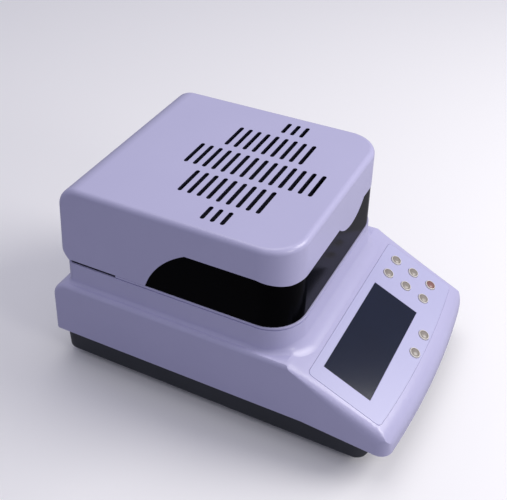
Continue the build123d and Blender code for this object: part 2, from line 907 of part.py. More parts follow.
# Keys: eight round caps, each with a retaining flange and a stem to its switch
for label, (x, down) in key_spots.items():
    spot = panel_point_plane(x, down)
    with BuildPart() as key:
        with BuildSketch(spot.offset(-housing_wall - key_seat_gap - key_flange_thickness)):
            Circle(key_radius)
        extrude(amount=key_rise + housing_wall + key_seat_gap + key_flange_thickness)
        top_edge = key.edges().sort_by(lambda edge: panel_plane.to_local_coords(edge.center()).Z)[-1]
        fillet(top_edge, key_edge_round)
        with BuildSketch(spot.offset(-housing_wall - key_seat_gap - key_flange_thickness)):
            Circle(key_flange_radius)
        extrude(amount=key_flange_thickness)
        with BuildSketch(spot.offset(-housing_wall - key_seat_gap - key_flange_thickness)):
            Circle(key_stem_radius)
        extrude(amount=-key_stem_length)
    save(key, label)

# Key board: an L-shaped circuit board with a tact switch under every key
with BuildPart() as keypad_board:
    board_top = panel_plane.offset(-key_board_depth)
    with BuildSketch(board_top):
        with Locations(((key_column_outer + key_column_inner) / 2, -(key_row_first + key_lower_row) / 2)):
            Rectangle(
                key_column_outer - key_column_inner + board_border,
                key_lower_row - key_row_first + board_border,
            )
        with Locations((key_lower_middle, -key_lower_row)):
            Rectangle(2 * (key_column_inner - key_lower_middle), board_border)
    extrude(amount=-board_thickness)
    with BuildSketch(board_top):
        with Locations(*key_centres):
            Rectangle(switch_size, switch_size)
    extrude(amount=switch_height - switch_plunger)
    with BuildSketch(board_top):
        with Locations(*key_centres):
            Circle(switch_size / 4)
    extrude(amount=switch_height)
save(keypad_board, "keypad_board")

# Main board on four standoffs
board_place = board_side_gap + board_width / 2 - half_tray
board_middle = y_tray_back - board_rear_gap - board_length / 2
board_corners = [
    (board_place + across, board_middle + along)
    for across in (-board_width / 2 + board_inset, board_width / 2 - board_inset)
    for along in (-board_length / 2 + board_inset, board_length / 2 - board_inset)
]
with BuildPart() as board_standoffs:
    with BuildSketch(Plane.XY.offset(z_tray_floor)):
        with Locations(*board_corners):
            RegularPolygon(standoff_radius, 6)
    extrude(amount=board_standoff)
save(board_standoffs, "board_standoffs")

z_board = z_tray_floor + board_standoff
with BuildPart() as main_board:
    with BuildSketch(Plane.XY.offset(z_board)):
        with Locations((board_place, board_middle)):
            Rectangle(board_width, board_length)
    extrude(amount=board_thickness)
    with BuildSketch(Plane.XY.offset(z_board + board_thickness)):
        with Locations((board_place, board_middle + board_length / 4)):
            Rectangle(processor_size, processor_size)
        with Locations((board_place - board_width / 5, board_middle - board_length / 4)):
            Rectangle(memory_width, memory_length)
    extrude(amount=chip_height)
    with BuildSketch(Plane.XY.offset(z_board + board_thickness)):
        with Locations((board_place + board_width / 5, board_middle - board_length / 4)):
            with GridLocations(capacitor_pitch, capacitor_pitch, 1, 3):
                Circle(capacitor_radius)
    extrude(amount=capacitor_height)
save(main_board, "main_board")

# Mains transformer: a stack of laminations with the winding through it
transformer_place = half_tray - transformer_side_gap - transformer_width / 2
transformer_middle = y_tray_back - transformer_rear_gap - transformer_length / 2
with BuildPart() as transformer:
    with BuildSketch(Plane.XY.offset(z_tray_floor)):
        with Locations((transformer_place, transformer_middle)):
            Rectangle(transformer_width, core_length)
    extrude(amount=transformer_height)
    with BuildSketch(Plane.XY.offset(z_tray_floor + (transformer_height - winding_height) / 2)):
        with Locations((transformer_place, transformer_middle)):
            RectangleRounded(winding_width, transformer_length, winding_round)
    extrude(amount=winding_height)
save(transformer, "transformer")

# Rear sockets: mains inlet, mains switch and data port
with BuildPart() as power_inlet:
    with BuildSketch(socket_plane):
        with Locations((-inlet_place, 0)):
            RectangleRounded(inlet_width, inlet_height, socket_round)
    extrude(amount=-socket_flange)
    with BuildSketch(socket_plane):
        with Locations((-inlet_place, 0)):
            Rectangle(inlet_width - 2 * inlet_ear, inlet_height - 2 * socket_step)
    extrude(amount=-inlet_depth)
    with BuildSketch(socket_plane) as mouth:
        with Locations((-inlet_place, 0)):
            Rectangle(inlet_mouth_width, inlet_mouth_height)
        chamfer(mouth.vertices().group_by(Axis.Y)[-1], inlet_mouth_chamfer)
    extrude(amount=-inlet_mouth_depth, mode=Mode.SUBTRACT)
    with BuildSketch(socket_plane.offset(-inlet_mouth_depth)):
        with Locations((-inlet_place, inlet_pin_rise)):
            Rectangle(inlet_pin_thickness, inlet_pin_width)
        with Locations((-inlet_place, -inlet_pin_rise)):
            with GridLocations(2 * inlet_pin_spread, 1, 2, 1):
                Rectangle(inlet_pin_thickness, inlet_pin_width)
    extrude(amount=inlet_pin_length)
save(power_inlet, "power_inlet")

rocker_centre = socket_plane.from_local_coords(Vector(-switch_place, 0, -rocker_sink))
rocker_section = Plane(origin=rocker_centre, x_dir=socket_plane.y_dir, z_dir=socket_plane.x_dir)
axle_half = rocker_width / 2 + rocker_gap + rocker_axle_reach
with BuildPart() as power_switch:
    with BuildSketch(socket_plane):
        with Locations((-switch_place, 0)):
            RectangleRounded(switch_frame_width, switch_frame_height, socket_round)
    extrude(amount=-socket_flange)
    with BuildSketch(socket_plane):
        with Locations((-switch_place, 0)):
            Rectangle(
                switch_frame_width - socket_step - 2 * socket_fit,
                switch_frame_height - socket_step - 2 * socket_fit,
            )
    extrude(amount=-switch_body_depth)
    with BuildSketch(socket_plane):
        with Locations((-switch_place, 0)):
            Rectangle(rocker_width + 2 * rocker_gap, rocker_length + 2 * rocker_gap)
    extrude(amount=-switch_well_depth, mode=Mode.SUBTRACT)
    with BuildSketch(rocker_section):
        Circle(rocker_axle_radius + rocker_axle_clearance)
    extrude(amount=axle_half + rocker_axle_clearance, both=True, mode=Mode.SUBTRACT)
save(power_switch, "power_switch")

with BuildPart() as power_rocker:
    with BuildSketch(rocker_section.offset(-rocker_width / 2)):
        with BuildLine():
            half = rocker_length / 2
            Polyline((-half, rocker_sink), (-half, 0), (0, -rocker_root), (half, 0), (half, rocker_sink))
            ThreePointArc((half, rocker_sink), (0, rocker_sink - rocker_hollow), (-half, rocker_sink))
        make_face()
    extrude(amount=rocker_width)
    with BuildSketch(rocker_section):
        Circle(rocker_axle_radius)
    extrude(amount=axle_half, both=True)
power_rocker.part = power_rocker.part.rotate(Axis(rocker_centre, socket_plane.x_dir), rocker_angle)
save(power_rocker, "power_rocker")

with BuildPart() as data_port:
    with BuildSketch(socket_plane):
        with Locations((-serial_place, 0)):
            RectangleRounded(serial_width, serial_height, socket_round)
    extrude(amount=-socket_flange)
    with BuildSketch(socket_plane):
        with Locations((-serial_place, 0)):
            Rectangle(
                serial_width - 2 * serial_ear - 2 * socket_fit,
                serial_height - socket_step - 2 * socket_fit,
            )
    extrude(amount=-serial_depth)
    with BuildSketch(socket_plane) as shell_face:
        with Locations((-serial_place, 0)):
            Trapezoid(serial_shell_width, serial_shell_height, serial_shell_slope, rotation=180)
        fillet(shell_face.vertices(), serial_shell_round)
    extrude(amount=serial_shell_rise)
save(data_port, "data_port")


# Hood: shell with a smoked window band, one form drawn in by different amounts
def hood_profile(inset, bottom):
    """Side profile of the hood, drawn in by inset, down to the height bottom."""
    fore = y_hood_front - hood_wall
    top = z_top - inset
    lean = hood_back_lean / (hood_height - hood_chamfer_height)
    z_chamfer = z_hood + hood_chamfer_height
    rear_low = y_hood_back - inset
    run = (z_chamfer - bottom) * hood_chamfer_depth / hood_chamfer_height
    with BuildSketch() as profile:
        with BuildLine():
            Polyline(
                (fore, bottom),
                (fore, top),
                (y_hood_back - hood_back_lean - inset + lean * inset, top),
                (rear_low, z_chamfer),
                (rear_low - run, bottom),
                close=True,
            )
        make_face()
        fillet(profile.vertices().group_by(Axis.Y)[-1].sort_by(Axis.X)[-1], hood_back_radius - inset)
    return profile.sketch


def hood_form(inset, bottom):
    """The hood's outer form as a solid, drawn in by inset, from the height bottom up."""
    with BuildPart() as form:
        with BuildSketch(Plane.XY.offset(bottom)):
            add(
                plan_outline(
                    half_hood - inset,
                    y_hood_front + inset,
                    y_hood_back + hood_corner_radius,
                    hood_corner_radius - inset,
                    hood_rear_round,
                )
            )
        extrude(amount=hood_height + hood_wall)
        with BuildSketch(Plane.YZ.offset(-half_hood)):
            add(hood_profile(inset, bottom))
        extrude(amount=hood_width, mode=Mode.INTERSECT)
        upper = form.edges().filter_by(
            lambda edge: edge.center().Z > z_hood + hood_chamfer_height + form_overlap
        )
        rounded = upper.filter_by(Axis.Z, reverse=True).filter_by(
            lambda edge: abs(edge.center().X) > form_overlap
            or edge.center().Y < y_hood_front + hood_corner_radius
        )
        fillet(rounded, hood_edge_radius - inset)
    return form.part


z_window_side = z_hood + window_side_height
z_window_front = z_hood + window_front_height


def window_region(gap):
    """Everything under the curved line between shell and window, shrunk by a gap."""
    low = z_hood - window_foot
    y_straight = y_hood_front + window_side_run
    y_foot = y_straight + window_arc_run
    with BuildPart() as region:
        with BuildSketch(Plane.YZ.offset(-body_width)):
            with BuildLine():
                Polyline(
                    (y_foot, low),
                    (y_hood_front - window_foot, low),
                    (y_hood_front - window_foot, z_window_front),
                    (y_hood_front + 2 * hood_wall, z_window_front),
                    (y_hood_front + hood_corner_radius, z_window_side),
                    (y_straight, z_window_side),
                )
                y_arc = y_straight + window_arc_run * window_arc_middle[0]
                z_arc = z_window_side - window_side_height * window_arc_middle[1]
                ThreePointArc((y_straight, z_window_side), (y_arc, z_arc), (y_foot, low))
            make_face()
            if gap:
                offset(amount=-gap, mode=Mode.REPLACE)
        extrude(amount=2 * body_width)
        with BuildSketch(Plane.XZ.offset(-y_hood_front - hood_corner_radius / 2)):
            with BuildLine():
                lip_left = (lip_middle - lip_width / 2, z_window_front)
                lip_right = (lip_middle + lip_width / 2, z_window_front)
                ThreePointArc(lip_left, (lip_middle, z_window_front - lip_drop), lip_right)
                Line(lip_right, lip_left)
            make_face()
            if gap:
                offset(amount=gap, mode=Mode.REPLACE)
        extrude(amount=hood_corner_radius, mode=Mode.SUBTRACT)
    return region.part


slot_field = half_hood - slot_edge_inset
slot_length = (slot_field - slot_inner_gap - slot_outer_gap - slot_short_length) / 1.5
slot_side_offset = slot_length + slot_inner_gap
slot_outer_offset = slot_field - slot_short_length / 2
slot_rows = (
    (0.0, 0.0, slot_middle_count, slot_length),
    (slot_side_offset, slot_side_shift, slot_side_count, slot_length),
    (-slot_side_offset, slot_side_shift, slot_side_count, slot_length),
    (slot_outer_offset, slot_outer_shift, slot_outer_count, slot_short_length),
    (-slot_outer_offset, slot_outer_shift, slot_outer_count, slot_short_length),
)
z_baffle = z_reflector_top
boss_spots = [
    (side * (half_hood - baffle_margin - baffle_boss_inset), y_chamber + step)
    for side in (-1, 1)
    for step in (-baffle_boss_step, baffle_boss_step)
]

with BuildPart() as hood_shell:
    add(hood_form(0, z_hood))
    add(hood_form(hood_wall, z_hood - hood_wall), mode=Mode.SUBTRACT)
    add(window_region(0), mode=Mode.SUBTRACT)
    for x, shift, count, length in slot_rows:
        with BuildSketch(Plane.XY.offset(z_top)):
            with Locations((x, y_chamber + shift)):
                with GridLocations(slot_pitch, slot_pitch, 1, count):
                    SlotOverall(length, slot_width)
        extrude(amount=-hood_wall, mode=Mode.SUBTRACT)
    with BuildSketch(Plane.XY.offset(z_hood - form_overlap)):
        with Locations((-hinge_spread, y_hood_back), (hinge_spread, y_hood_back)):
            Rectangle(hinge_notch_width, 2 * (hood_chamfer_depth + hood_wall + form_overlap))
    extrude(amount=hinge_notch_height + form_overlap, mode=Mode.SUBTRACT)
    with BuildSketch(Plane.XY.offset(z_top - hood_wall)):
        with Locations(*boss_spots):
            Circle(baffle_boss_radius)
            Circle(screw_shank_radius + screw_clearance, mode=Mode.SUBTRACT)
    extrude(amount=-(z_top - hood_wall - z_baffle - baffle_sheet))
save(hood_shell, "hood_shell")

with BuildPart() as hood_window:
    add(hood_form(window_inset, z_hood))
    add(hood_form(window_inset + window_thickness, z_hood - hood_wall), mode=Mode.SUBTRACT)
    add(window_region(window_gap), mode=Mode.INTERSECT)
save(hood_window, "hood_window")

# Hood frame: the black plate that closes the hood's mouth round the chamber
frame_half = half_hood - hood_wall
with BuildPart() as hood_frame:
    with BuildSketch(Plane.XY.offset(z_frame)):
        add(
            plan_outline(
                frame_half,
                y_hood_front + hood_wall,
                y_hood_back - hood_wall - hood_chamfer_depth,
                hood_corner_radius - hood_wall,
                hood_rear_round,
            )
        )
        with Locations((0, y_chamber)):
            Circle(frame_opening_radius, mode=Mode.SUBTRACT)
        with Locations((-hinge_spread, y_hood_back), (hinge_spread, y_hood_back)):
            Rectangle(hinge_notch_width, 2 * hinge_notch_depth, mode=Mode.SUBTRACT)
    extrude(amount=frame_thickness)
save(hood_frame, "hood_frame")

# Hinges: fixed lug brackets, hood arms, pins and friction washers
z_bracket = z_plinth + rear_plate_thickness

for side, name in ((-1, "left"), (1, "right")):
    lug_inner = Plane.YZ.offset(side * hinge_spread - lug_thickness / 2)
    with BuildPart() as hinge_bracket:
        with BuildSketch(Plane.XY.offset(z_bracket)):
            with Locations((side * hinge_spread, y_bracket)):
                RectangleRounded(2 * bracket_screw_step + bracket_border, bracket_border, bracket_round)
        extrude(amount=bracket_thickness)
        with BuildSketch(lug_inner):
            with Locations((y_hinge, z_hinge)):
                Circle(hinge_eye_radius)
            with BuildLine():
                Polyline(
                    (y_hinge - lug_root, z_bracket),
                    (y_bracket + bracket_border / 2, z_bracket),
                    (y_hinge + hinge_eye_radius, z_hinge),
                    (y_hinge - hinge_eye_radius, z_hinge),
                    close=True,
                )
            make_face()
        extrude(amount=lug_thickness)
        with BuildSketch(lug_inner):
            with Locations((y_hinge, z_hinge)):
                Circle(hinge_pin_radius)
        extrude(amount=lug_thickness, mode=Mode.SUBTRACT)
        with BuildSketch(Plane.XY.offset(z_bracket)):
            with Locations((side * hinge_spread, y_bracket)):
                with GridLocations(2 * bracket_screw_step, 1, 2, 1):
                    Circle(screw_shank_radius + screw_clearance)
        extrude(amount=bracket_thickness, mode=Mode.SUBTRACT)
    save(hinge_bracket, f"hinge_bracket_{name}")

    arm_near = side * (hinge_spread + lug_thickness / 2 + washer_thickness + 2 * washer_gap)
    arm_plane = Plane.YZ.offset(min(arm_near, arm_near + side * lug_thickness))
    with BuildPart() as hinge_arm:
        with BuildSketch(arm_plane):
            with BuildLine():
                fore = y_hinge - arm_length
                Polyline(
                    (fore, z_frame_top),
                    (y_hood_back - hinge_notch_depth, z_frame_top),
                    (y_hinge - arm_toe, z_hinge - hinge_eye_radius),
                    (y_hinge, z_hinge + hinge_eye_radius),
                    (fore, z_frame_top + arm_height),
                    close=True,
                )
            make_face()
            with Locations((y_hinge, z_hinge)):
                Circle(hinge_eye_radius)
        extrude(amount=lug_thickness)
        with BuildSketch(arm_plane):
            with Locations((y_hinge, z_hinge)):
                Circle(hinge_pin_radius + hinge_running_clearance)
        extrude(amount=lug_thickness, mode=Mode.SUBTRACT)
    save(hinge_arm, f"hinge_arm_{name}")

    pin_inner = side * (hinge_spread - lug_thickness / 2)
    pin_length = 2 * lug_thickness + washer_thickness + 3 * washer_gap + pin_head_thickness
    with BuildPart() as hinge_pin:
        with BuildSketch(Plane.YZ.offset(min(pin_inner, pin_inner + side * pin_length))):
            with Locations((y_hinge, z_hinge)):
                Circle(hinge_pin_radius)
        extrude(amount=pin_length)
        with BuildSketch(Plane.YZ.offset(min(pin_inner, pin_inner - side * pin_head_thickness))):
            with Locations((y_hinge, z_hinge)):
                Circle(hinge_pin_radius + pin_head_margin)
        extrude(amount=pin_head_thickness)
    save(hinge_pin, f"hinge_pin_{name}")

with BuildPart() as friction_washers:
    for side in (-1, 1):
        near = side * (hinge_spread + lug_thickness / 2)
        with BuildSketch(Plane.YZ.offset(min(near, near + side * washer_thickness))):
            with Locations((y_hinge, z_hinge)):
                Circle(hinge_eye_radius - washer_margin)
                Circle(hinge_pin_radius, mode=Mode.SUBTRACT)
        extrude(amount=washer_thickness)
save(friction_washers, "friction_washers")

# Heater: baffle under the slots, reflector, ring lamp, holder, glass and its ring
with BuildPart() as heat_baffle:
    with BuildSketch(Plane.XY.offset(z_baffle)):
        with Locations((0, y_chamber)):
            RectangleRounded(
                hood_width - 2 * baffle_margin,
                2 * (baffle_boss_step + baffle_boss_inset),
                baffle_boss_inset,
            )
        with Locations(*boss_spots):
            Circle(screw_shank_radius + screw_clearance, mode=Mode.SUBTRACT)
    extrude(amount=baffle_sheet)
save(heat_baffle, "heat_baffle")

reflector_rim = frame_opening_radius - glass_gap
reflector_wall = reflector_rim - reflector_flange
with BuildPart() as reflector:
    with BuildSketch(chamber_section):
        with BuildLine():
            top = z_reflector_top
            sheet = reflector_sheet
            Polyline((reflector_flat, top - sheet), (0, top - sheet), (0, top), (reflector_flat, top))
            SagittaArc((reflector_flat, top), (reflector_wall, z_reflector + sheet), reflector_sag)
            Polyline(
                (reflector_wall, z_reflector + sheet),
                (reflector_rim, z_reflector + sheet),
                (reflector_rim, z_reflector),
                (reflector_wall - sheet, z_reflector),
            )
            SagittaArc((reflector_wall - sheet, z_reflector), (reflector_flat, top - sheet), -reflector_sag)
        make_face()
    revolve(axis=chamber_axis)
save(reflector, "reflector")

# Lamp glass, held by a pressed ring that grips the reflector's edge
with BuildPart() as lamp_glass:
    with BuildSketch(Plane.XY.offset(z_glass)):
        with Locations((0, y_chamber)):
            Circle(frame_opening_radius - glass_gap)
    extrude(amount=glass_thickness)
save(lamp_glass, "lamp_glass")

with BuildPart() as guard_ring:
    with BuildSketch(Plane.XY.offset(z_guard)):
        with Locations((0, y_chamber)):
            Circle(frame_opening_radius + guard_sheet)
            Circle(reflector_wall - reflector_flange, mode=Mode.SUBTRACT)
    extrude(amount=guard_sheet)
    with BuildSketch(Plane.XY.offset(z_guard)):
        with Locations((0, y_chamber)):
            Circle(frame_opening_radius + guard_sheet)
            Circle(frame_opening_radius, mode=Mode.SUBTRACT)
    extrude(amount=z_reflector + reflector_sheet - z_guard)
save(guard_ring, "guard_ring")

# Halogen lamp: an almost closed quartz ring, its two ends in one ceramic holder
z_lamp = z_reflector + lamp_rise
lamp_start = 90 + lamp_gap_angle / 2
lamp_plane = Plane(
    origin=(0, y_chamber, z_lamp),
    x_dir=(cos(radians(lamp_start)), sin(radians(lamp_start)), 0),
    z_dir=(sin(radians(lamp_start)), -cos(radians(lamp_start)), 0),
)
with BuildPart() as halogen_lamp:
    with BuildSketch(lamp_plane):
        with Locations((lamp_ring_radius, 0)):
            Circle(lamp_tube_radius)
    revolve(axis=chamber_axis, revolution_arc=360 - lamp_gap_angle)
save(halogen_lamp, "halogen_lamp")

with BuildPart() as lamp_holder:
    with BuildSketch(Plane.XY.offset(z_lamp - lamp_holder_drop)):
        with BuildLine():
            near = lamp_ring_radius - lamp_holder_reach
            far = lamp_ring_radius + lamp_holder_reach
            spread = radians(lamp_gap_angle / 2)
            Polyline(
                (-near * sin(spread), y_chamber + near * cos(spread)),
                (near * sin(spread), y_chamber + near * cos(spread)),
                (far * sin(spread), y_chamber + far * cos(spread)),
                (-far * sin(spread), y_chamber + far * cos(spread)),
                close=True,
            )
        make_face()
    extrude(amount=z_reflector_top - reflector_sheet - z_lamp + lamp_holder_drop)
save(lamp_holder, "lamp_holder")

# Temperature probe: a bent steel tube that stands on the hood frame
with BuildPart() as temperature_probe:
    foot = (0, y_chamber + frame_opening_radius + probe_stand, z_frame_top)
    elbow = (0, foot[1], z_frame_top + probe_rise)
    tip = (0, foot[1] - probe_reach, z_frame_top + probe_rise)
    with BuildLine() as probe_path:
        FilletPolyline(foot, elbow, tip, radius=probe_bend)
    with BuildSketch(Plane(origin=foot, z_dir=(0, 0, 1))):
        Circle(probe_radius)
    sweep(path=probe_path.line)
    with BuildSketch(Plane(origin=foot, z_dir=(0, 0, 1))):
        Circle(2 * probe_radius)
    extrude(amount=2 * probe_radius)
save(temperature_probe, "temperature_probe")


def screws(spots, z_seat, shank):
    """Pan-head screws driven upwards, their heads seated at a height."""
    with BuildPart() as group:
        with BuildSketch(Plane.XY.offset(z_seat)):
            with Locations(*spots):
                Circle(screw_head_radius)
        extrude(amount=-screw_head_height)
        with BuildSketch(Plane.XY.offset(z_seat)):
            with Locations(*spots):
                Circle(screw_shank_radius)
        extrude(amount=shank)
    return group


z_housing_seat = z_tray + screw_head_height + screw_clearance
shank = z_parting + screw_engagement - screw_tip_gap - z_housing_seat
housing_screws = screws(screw_spots, z_housing_seat, shank)
save(housing_screws, "housing_screws")
z_bracket_seat = z_plinth - housing_wall
bracket_screws = screws(bracket_screw_spots, z_bracket_seat, z_bracket + bracket_thickness - z_bracket_seat)
save(bracket_screws, "bracket_screws")
hood_screws = screws(boss_spots, z_baffle, screw_engagement)
save(hood_screws, "hood_screws")

# Feet: rubber pads, each with a threaded stud and thumb wheel that turns in its socket
for name, spot in foot_spots.items():
    with BuildPart() as foot_pad:
        with BuildSketch(Plane.XY):
            with Locations(spot):
                Circle(foot_pad_radius)
        extrude(amount=foot_pad_height)
        fillet(foot_pad.edges().group_by(Axis.Z)[-1], foot_pad_round)
        with BuildSketch(Plane.XY.offset(foot_pad_height)):
            with Locations(spot):
                Circle(foot_stud_radius + foot_socket_clearance)
        extrude(amount=-foot_socket_depth, mode=Mode.SUBTRACT)
    save(foot_pad, f"foot_pad_{name}")

    z_stud = foot_pad_height - foot_socket_depth
    with BuildPart() as foot_stud:
        with BuildSketch(Plane.XY.offset(z_stud)):
            with Locations(spot):
                Circle(foot_stud_radius)
        extrude(amount=z_tray + foot_boss_height + foot_stud_rise - z_stud)
        with BuildSketch(Plane.XY.offset(foot_pad_height + foot_wheel_gap)):
            with Locations(spot):
                Circle(foot_wheel_radius)
                with PolarLocations(foot_wheel_radius, foot_wheel_notches):
                    Circle(foot_wheel_notch, mode=Mode.SUBTRACT)
        extrude(amount=foot_wheel_thickness)
    save(foot_stud, f"foot_stud_{name}")
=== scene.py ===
from math import cos, pi, radians, sin, sqrt, tan

import bmesh
import bpy
from mathutils import Matrix, Vector


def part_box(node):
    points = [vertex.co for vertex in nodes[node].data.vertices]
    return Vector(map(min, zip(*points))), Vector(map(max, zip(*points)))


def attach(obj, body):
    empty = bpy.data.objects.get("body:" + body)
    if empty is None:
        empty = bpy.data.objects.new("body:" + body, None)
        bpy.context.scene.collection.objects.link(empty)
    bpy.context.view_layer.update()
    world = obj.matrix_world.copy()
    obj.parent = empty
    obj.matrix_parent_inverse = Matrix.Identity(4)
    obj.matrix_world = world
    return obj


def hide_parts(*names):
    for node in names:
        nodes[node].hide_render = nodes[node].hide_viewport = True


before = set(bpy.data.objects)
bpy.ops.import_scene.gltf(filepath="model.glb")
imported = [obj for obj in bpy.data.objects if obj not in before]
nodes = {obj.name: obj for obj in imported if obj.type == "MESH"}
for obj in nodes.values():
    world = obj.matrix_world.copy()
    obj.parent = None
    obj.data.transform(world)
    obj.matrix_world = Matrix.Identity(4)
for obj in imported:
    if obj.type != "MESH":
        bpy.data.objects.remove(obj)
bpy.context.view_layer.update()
mm = 0.001


# Base tray
# A shallow injection-moulded tub in charcoal ABS that carries the works and the feet.
# Spark-eroded tool steel leaves a fine grain on it, so it is matt beside the shell above.
def linear(code):
    """An sRGB hex colour as the linear colour that a shader socket takes."""
    parts = [int(code[at : at + 2], 16) / 255 for at in (1, 3, 5)]
    return tuple(p / 12.92 if p < 0.04045 else ((p + 0.055) / 1.055) ** 2.4 for p in parts) + (1.0,)


def new_finish(name, constants):
    """A finish with its shader's constants set; its patterns are fed in afterwards."""
    finish = bpy.data.materials.new(name)
    finish.use_nodes = True
    shader = finish.node_tree.nodes["Principled BSDF"]
    for socket, value in constants.items():
        shader.inputs[socket].default_value = value
    return finish, shader


def put(tree, kind, settings, feeds):
    """Adds one node; feeds are its inputs, each a value or another node's output."""
    node = tree.nodes.new(kind)
    for name, value in settings.items():
        setattr(node, name, value)
    for name, value in feeds.items():
        if isinstance(value, bpy.types.NodeSocket):
            tree.links.new(value, node.inputs[name])
        else:
            node.inputs[name].default_value = value
    return node


def mottle(finish, shader, shades, size, grain, depth):
    """Moulded or cast stock: two close shades in soft clouds, over a fine grain in relief."""
    tree = finish.node_tree
    place = put(tree, "ShaderNodeTexCoord", {}, {}).outputs["Object"]
    cloud = put(tree, "ShaderNodeTexNoise", {}, {"Vector": place, "Scale": 1 / (size * mm), "Detail": 3.0})
    shade = {0: cloud.outputs["Fac"], 6: linear(shades[0]), 7: linear(shades[1])}
    tone = put(tree, "ShaderNodeMix", {"data_type": "RGBA"}, shade)
    tree.links.new(tone.outputs[2], shader.inputs["Base Color"])
    pits = put(tree, "ShaderNodeTexNoise", {}, {"Vector": place, "Scale": 1 / (grain * mm), "Detail": 2.0})
    bump = {"Height": pits.outputs["Fac"], "Strength": 0.4, "Distance": depth * mm}
    relief = put(tree, "ShaderNodeBump", {}, bump)
    tree.links.new(relief.outputs["Normal"], shader.inputs["Normal"])


def wear(finish, *names):
    """Gives carried-over solids their finish."""
    for name in names:
        for slot in nodes[name].material_slots:
            slot.material = finish


def show(name, mesh, body, slot, *replaced):
    """Puts a finished mesh in the scene on its body, in place of the CAD solids it stands for."""
    piece = bpy.data.objects.new(name, mesh)
    bpy.context.collection.objects.link(piece)
    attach(piece, body)
    if replaced:
        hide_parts(*replaced)
    return piece


merge_distance = 0.004
flat_angle = radians(0.6)


def clean_copy(*names):
    """The CAD solids named, as one mesh: doubles merged and flat facets joined."""
    form = bmesh.new()
    for name in names:
        form.from_mesh(nodes[name].data)
    bmesh.ops.remove_doubles(form, verts=form.verts, dist=merge_distance * mm)
    bmesh.ops.dissolve_limit(form, angle_limit=flat_angle, verts=form.verts, edges=form.edges)
    mesh = bpy.data.meshes.new(names[0])
    form.to_mesh(mesh)
    form.free()
    mesh.shade_smooth()
    return mesh


def eased(mesh, edge, corner=38):
    """The mesh with corners sharper than an angle rounded by edge, in mm, and shaded evenly."""
    holder = bpy.data.objects.new("eased", mesh)
    bpy.context.collection.objects.link(holder)
    bevel = holder.modifiers.new("rounded corners", "BEVEL")
    bevel.width = edge * mm
    bevel.segments = 2
    bevel.angle_limit = radians(corner)
    even = holder.modifiers.new("even shading", "WEIGHTED_NORMAL")
    even.keep_sharp = True
    bpy.context.view_layer.update()
    made = bpy.data.meshes.new_from_object(holder.evaluated_get(bpy.context.evaluated_depsgraph_get()))
    bpy.data.objects.remove(holder)
    return made


charcoal_abs, shader = new_finish("charcoal ABS, spark-eroded grain", {"Roughness": 0.5, "IOR": 1.53})
mottle(charcoal_abs, shader, ("#2b2e33", "#34373d"), 40.0, 0.7, 0.12)
tray = eased(clean_copy("base_tray"), 0.5)
tray.materials.append(charcoal_abs)
show("base_tray_moulding", tray, "root", "charcoal_abs", "base_tray")

# Feet
# Black rubber pads on studs with thumb wheels, each stud and wheel in one moulding.
# Rubber is matt and slightly grey from bloom; the studs and wheels are glass-filled nylon.
foot_rubber, shader = new_finish("nitrile rubber", {"Roughness": 0.8, "IOR": 1.52})
mottle(foot_rubber, shader, ("#151515", "#232323"), 6.0, 0.4, 0.1)
wheel_nylon, shader = new_finish("glass-filled nylon", {"Roughness": 0.55, "IOR": 1.53})
mottle(wheel_nylon, shader, ("#1b1c1e", "#26272a"), 8.0, 0.5, 0.1)
for corner in ("front_left", "front_right", "rear_left", "rear_right"):
    pad = eased(clean_copy(f"foot_pad_{corner}"), 0.4)
    pad.materials.append(foot_rubber)
    show(f"rubber_pad_{corner}", pad, f"foot_pad_{corner}", "rubber", f"foot_pad_{corner}")
    wheel = eased(clean_copy(f"foot_stud_{corner}"), 0.3)
    wheel.materials.append(wheel_nylon)
    show(f"thumb_wheel_{corner}", wheel, f"foot_stud_{corner}", "black_plastic", f"foot_stud_{corner}")

# Weighing cell
# A beam milled from aluminium bar, bolted to a block of the same, both as machined.
# Milling leaves fine straight tool marks, so the light draws out along them.
milled_aluminium, shader = new_finish("milled aluminium", {"Metallic": 1.0, "Roughness": 0.32})
tree = milled_aluminium.node_tree
place = put(tree, "ShaderNodeTexCoord", {}, {}).outputs["Object"]
stretched = put(tree, "ShaderNodeMapping", {}, {"Vector": place, "Scale": (2500, 60, 2500)})
marks = put(tree, "ShaderNodeTexNoise", {}, {"Vector": stretched.outputs["Vector"], "Scale": 1.0})
shade = {0: marks.outputs["Fac"], 6: linear("#b9babc"), 7: linear("#d5d6d8")}
tone = put(tree, "ShaderNodeMix", {"data_type": "RGBA"}, shade)
tree.links.new(tone.outputs[2], shader.inputs["Base Color"])
bump = {"Height": marks.outputs["Fac"], "Strength": 0.2, "Distance": 0.1 * mm}
relief = put(tree, "ShaderNodeBump", {}, bump)
tree.links.new(relief.outputs["Normal"], shader.inputs["Normal"])
wear(milled_aluminium, "load_cell", "load_cell_mount")

# Circuit boards
# Glass-epoxy laminate under green lacquer, on turned brass standoffs.
# The boards lie inside the housing, so what is soldered to them keeps the same finish.
laminate, shader = new_finish("lacquered glass-epoxy laminate", {"Roughness": 0.3, "IOR": 1.55})
mottle(laminate, shader, ("#1b5a33", "#24683d"), 2.5, 1.0, 0.05)
wear(laminate, "main_board", "keypad_board")
turned_brass, shader = new_finish("turned brass", {"Metallic": 1.0, "Roughness": 0.3})
mottle(turned_brass, shader, ("#b79a4f", "#c7ab62"), 3.0, 0.3, 0.05)
wear(turned_brass, "board_standoffs")

# Transformer
# A stack of steel laminations with a taped winding through it.
# The whole is dipped in varnish, which leaves it brown and uneven in shade.
varnished_steel, shader = new_finish("varnished laminations", {"Metallic": 0.4, "Roughness": 0.45})
mottle(varnished_steel, shader, ("#3d3129", "#56483b"), 5.0, 0.5, 0.1)
wear(varnished_steel, "transformer")

